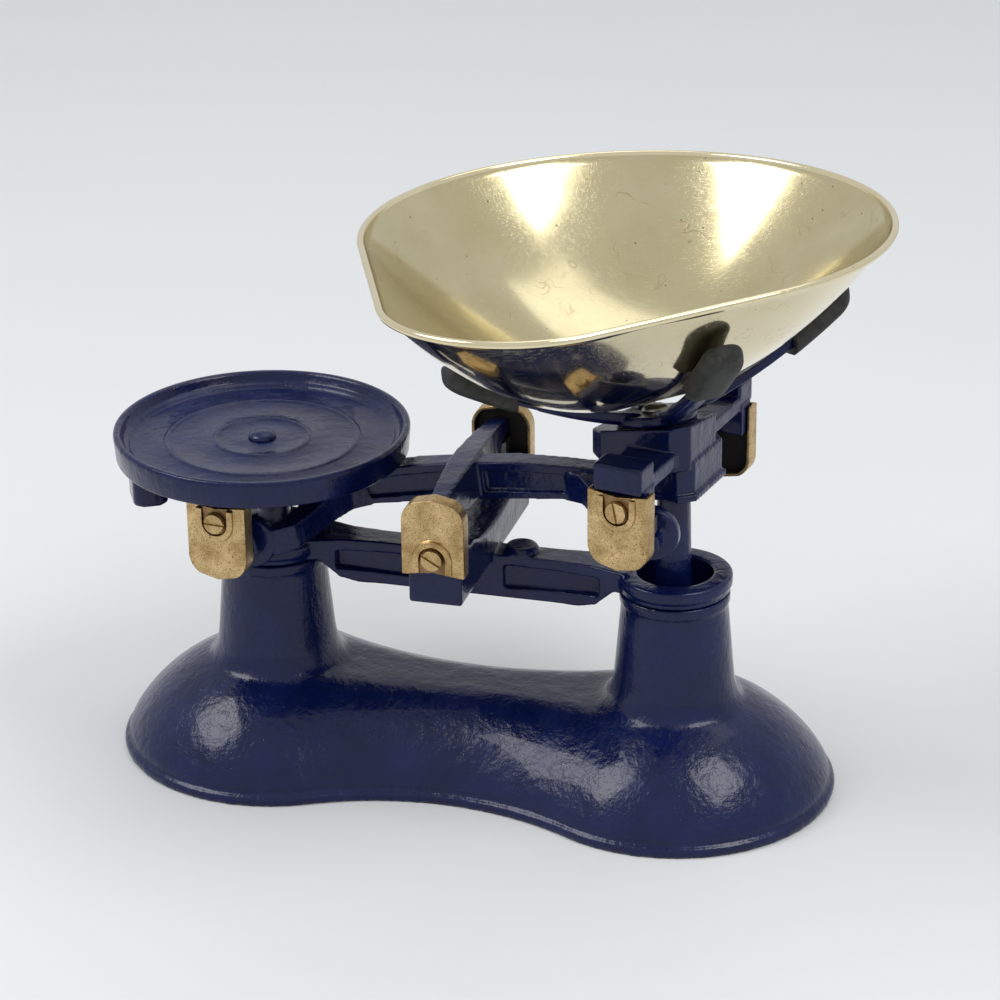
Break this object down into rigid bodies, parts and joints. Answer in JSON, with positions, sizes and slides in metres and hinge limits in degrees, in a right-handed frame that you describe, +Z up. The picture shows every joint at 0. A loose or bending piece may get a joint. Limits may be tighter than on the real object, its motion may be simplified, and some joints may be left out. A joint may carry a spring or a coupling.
{
  "type": "counter balance scale",
  "caption": "Navy enamelled cast-iron counter balance with weight plate, rocking beam, hollow pillars, rubber-tipped pan rest and a loose pouring brass pan.",
  "frame": {"origin": "centre of the bounding box at ground level", "axes": "+X towards the pan end, +Y to the back along the knife edges, +Z up"},
  "size_m": [0.3554, 0.279, 0.2687],
  "materials": {
    "base_casting": "gloss navy enamel over cast iron",
    "beam": "gloss navy enamel over cast iron",
    "bowl": "polished",
    "bowl_spider": "gloss navy enamel over cast iron",
    "bridge_frame": "gloss navy enamel over cast iron",
    "centre_bearing_back": "satin",
    "centre_bearing_front": "satin",
    "centre_cap_back": "satin cast",
    "centre_cap_front": "satin cast",
    "centre_cap_screw_back": "satin cast",
    "centre_cap_screw_front": "satin cast",
    "centre_knife_back": "satin",
    "centre_knife_front": "satin",
    "check_stay": "satin",
    "left_bearing_back": "satin",
    "left_bearing_front": "satin",
    "left_cap_back": "satin cast",
    "left_cap_front": "satin cast",
    "left_cap_screw_back": "satin cast",
    "left_cap_screw_front": "satin cast",
    "left_carrier": "gloss navy enamel over cast iron",
    "left_knife_back": "satin",
    "left_knife_front": "satin",
    "left_stay_pin": "satin",
    "plate_rivet": "gloss navy enamel over cast iron",
    "right_bearing_back": "satin",
    "right_bearing_front": "satin",
    "right_cap_back": "satin cast",
    "right_cap_front": "satin cast",
    "right_cap_screw_back": "satin cast",
    "right_cap_screw_front": "satin cast",
    "right_carrier": "gloss navy enamel over cast iron",
    "right_knife_back": "satin",
    "right_knife_front": "satin",
    "right_stay_pin": "satin",
    "rubber_tip_back_left": "matte",
    "rubber_tip_back_right": "matte",
    "rubber_tip_front_left": "matte",
    "rubber_tip_front_right": "matte",
    "spider_screw": "satin",
    "stay_pivot_pin": "satin",
    "weight_plate": "gloss navy enamel over cast iron"
  },
  "bodies": {
    "base": {"base_casting": "base_casting", "bridge_frame": "bridge_frame", "centre_bearing_back": "centre_bearing_back", "centre_bearing_front": "centre_bearing_front", "centre_cap_back": "centre_cap_back", "centre_cap_front": "centre_cap_front", "centre_cap_screw_back": "centre_cap_screw_back", "centre_cap_screw_front": "centre_cap_screw_front", "stay_pivot_pin": "stay_pivot_pin"},
    "beam": {"beam": "beam", "centre_knife_back": "centre_knife_back", "centre_knife_front": "centre_knife_front", "left_knife_back": "left_knife_back", "left_knife_front": "left_knife_front", "right_knife_back": "right_knife_back", "right_knife_front": "right_knife_front"},
    "bowl": {"bowl": "bowl"},
    "pan_carrier": {"bowl_spider": "bowl_spider", "right_bearing_back": "right_bearing_back", "right_bearing_front": "right_bearing_front", "right_cap_back": "right_cap_back", "right_cap_front": "right_cap_front", "right_cap_screw_back": "right_cap_screw_back", "right_cap_screw_front": "right_cap_screw_front", "right_carrier": "right_carrier", "right_stay_pin": "right_stay_pin", "rubber_tip_back_left": "rubber_tip_back_left", "rubber_tip_back_right": "rubber_tip_back_right", "rubber_tip_front_left": "rubber_tip_front_left", "rubber_tip_front_right": "rubber_tip_front_right", "spider_screw": "spider_screw"},
    "check_stay": {"check_stay": "check_stay"},
    "weight_carrier": {"left_bearing_back": "left_bearing_back", "left_bearing_front": "left_bearing_front", "left_cap_back": "left_cap_back", "left_cap_front": "left_cap_front", "left_cap_screw_back": "left_cap_screw_back", "left_cap_screw_front": "left_cap_screw_front", "left_carrier": "left_carrier", "left_stay_pin": "left_stay_pin", "plate_rivet": "plate_rivet", "weight_plate": "weight_plate"}
  },
  "joints": [
    {"name": "beam_rock", "type": "hinge", "parent": "base", "child": "beam", "pos_m": [-0.00866, 0.00877, 0.137], "axis": [0, 1, 0], "range_deg": [0, 16]},
    {"name": "weight_carrier_hinge", "type": "hinge", "parent": "beam", "child": "weight_carrier", "pos_m": [-0.10285, 0.00877, 0.1246], "axis": [0, 1, 0], "range_deg": [-16, 0]},
    {"name": "pan_carrier_hinge", "type": "hinge", "parent": "beam", "child": "pan_carrier", "pos_m": [0.08553, 0.00877, 0.1494], "axis": [0, 1, 0], "range_deg": [-16, 0]},
    {"name": "stay_rock", "type": "hinge", "parent": "base", "child": "check_stay", "pos_m": [-0.00866, 0.00877, 0.022], "axis": [0, 1, 0], "range_deg": [0, 16]},
    {"name": "bowl_lift", "type": "slide", "parent": "pan_carrier", "child": "bowl", "axis": [0, 0, 1], "range_m": [0, 0.12]}
  ],
  "couplings": [
    {"joint": "weight_carrier_hinge", "follows": "beam_rock", "ratio": -1},
    {"joint": "pan_carrier_hinge", "follows": "beam_rock", "ratio": -1},
    {"joint": "stay_rock", "follows": "beam_rock", "ratio": 1}
  ]
}
